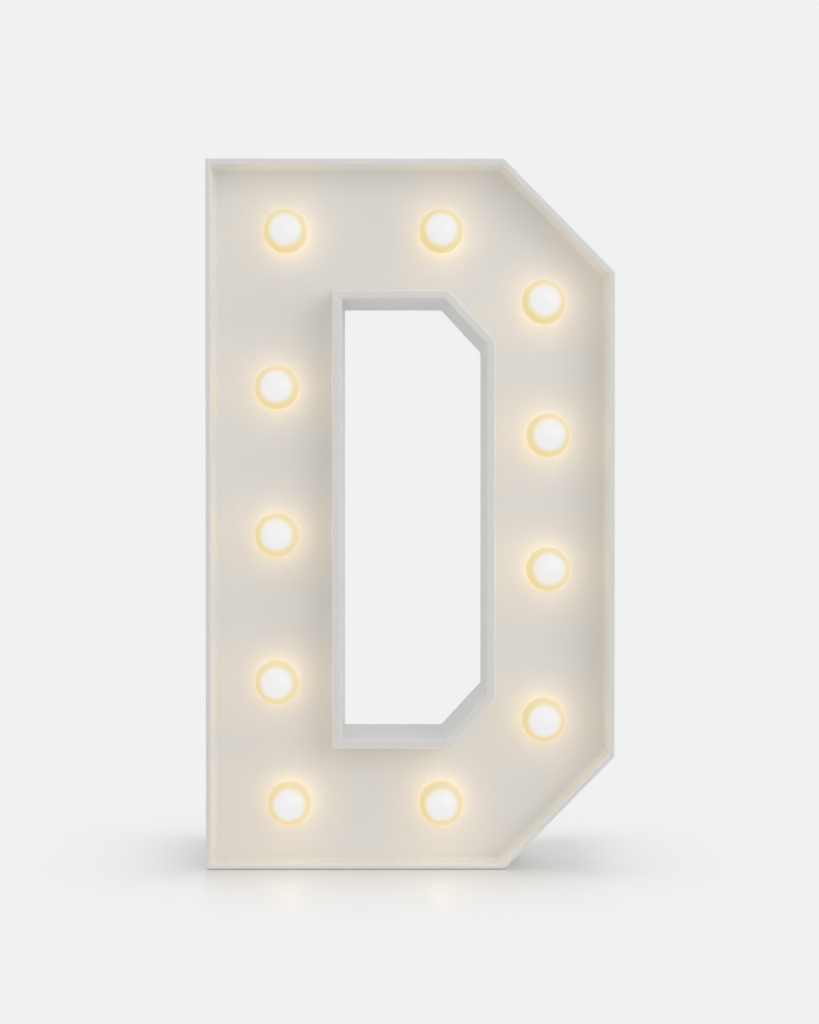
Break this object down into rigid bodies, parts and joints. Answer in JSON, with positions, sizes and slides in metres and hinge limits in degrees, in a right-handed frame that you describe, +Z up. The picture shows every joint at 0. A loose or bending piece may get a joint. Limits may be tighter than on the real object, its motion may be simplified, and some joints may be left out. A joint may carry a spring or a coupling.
{
  "type": "light-up letter",
  "caption": "Free-standing light-up marquee letter with warm bulb caps in a recessed face, an inset back cover with battery door and slide switch, and a keyhole for hanging.",
  "frame": {"origin": "middle of the base's rectangle, on the surface that the letter stands on", "axes": "+Z up, -Y out of the front face with the bulbs, +X to the right seen from the front"},
  "size_m": [0.1266, 0.045, 0.22],
  "materials": {
    "shell_plastic": "fine-grained moulded plastic, off-white",
    "cover_plastic": "fine-grained moulded plastic, off-white",
    "globe_plastic": "frosted translucent bulb cap, lit from inside",
    "led_resin": "clear cast resin",
    "red_wire": "smooth wire insulation",
    "black_wire": "smooth wire insulation",
    "resistor_coat": "lacquered coat",
    "cell_jacket": "printed foil jacket",
    "contact_steel": "nickel-plated spring steel",
    "screw_steel": "zinc-plated",
    "switch_steel": "tinned sheet",
    "switch_board": "pressed laminate",
    "terminal_brass": "tinned brass",
    "knob_plastic": "satin moulded plastic"
  },
  "bodies": {
    "letter": {"letter_shell": "shell_plastic", "back_cover": "cover_plastic", "cover_screws": "screw_steel", "bulb_globe_01": "globe_plastic", "bulb_globe_02": "globe_plastic", "bulb_globe_03": "globe_plastic", "bulb_globe_04": "globe_plastic", "bulb_globe_05": "globe_plastic", "bulb_globe_06": "globe_plastic", "bulb_globe_07": "globe_plastic", "bulb_globe_08": "globe_plastic", "bulb_globe_09": "globe_plastic", "bulb_globe_10": "globe_plastic", "bulb_globe_11": "globe_plastic", "led_01": "led_resin", "led_02": "led_resin", "led_03": "led_resin", "led_04": "led_resin", "led_05": "led_resin", "led_06": "led_resin", "led_07": "led_resin", "led_08": "led_resin", "led_09": "led_resin", "led_10": "led_resin", "led_11": "led_resin", "positive_bus_wire": "red_wire", "negative_bus_wire": "black_wire", "battery_lead": "red_wire", "switch_lead": "red_wire", "return_lead": "black_wire", "resistor": "resistor_coat", "battery_left": "cell_jacket", "battery_right": "cell_jacket", "positive_contact": "contact_steel", "negative_contact": "contact_steel", "bridge_contact": "contact_steel", "switch_frame": "switch_steel", "switch_base": "switch_board", "switch_terminals": "terminal_brass", "switch_screws": "screw_steel"},
    "battery_door": {"battery_door": "cover_plastic"},
    "switch_knob": {"switch_knob": "knob_plastic"}
  },
  "joints": [
    {"name": "battery_door_hinge", "type": "hinge", "parent": "letter", "child": "battery_door", "pos_m": [-0.04285, 0.0216, 0.06655], "axis": [-1, 0, 0], "range_deg": [0, 70]},
    {"name": "switch_slide", "type": "slide", "parent": "letter", "child": "switch_knob", "axis": [1, 0, 0], "range_m": [0, 0.003]}
  ]
}
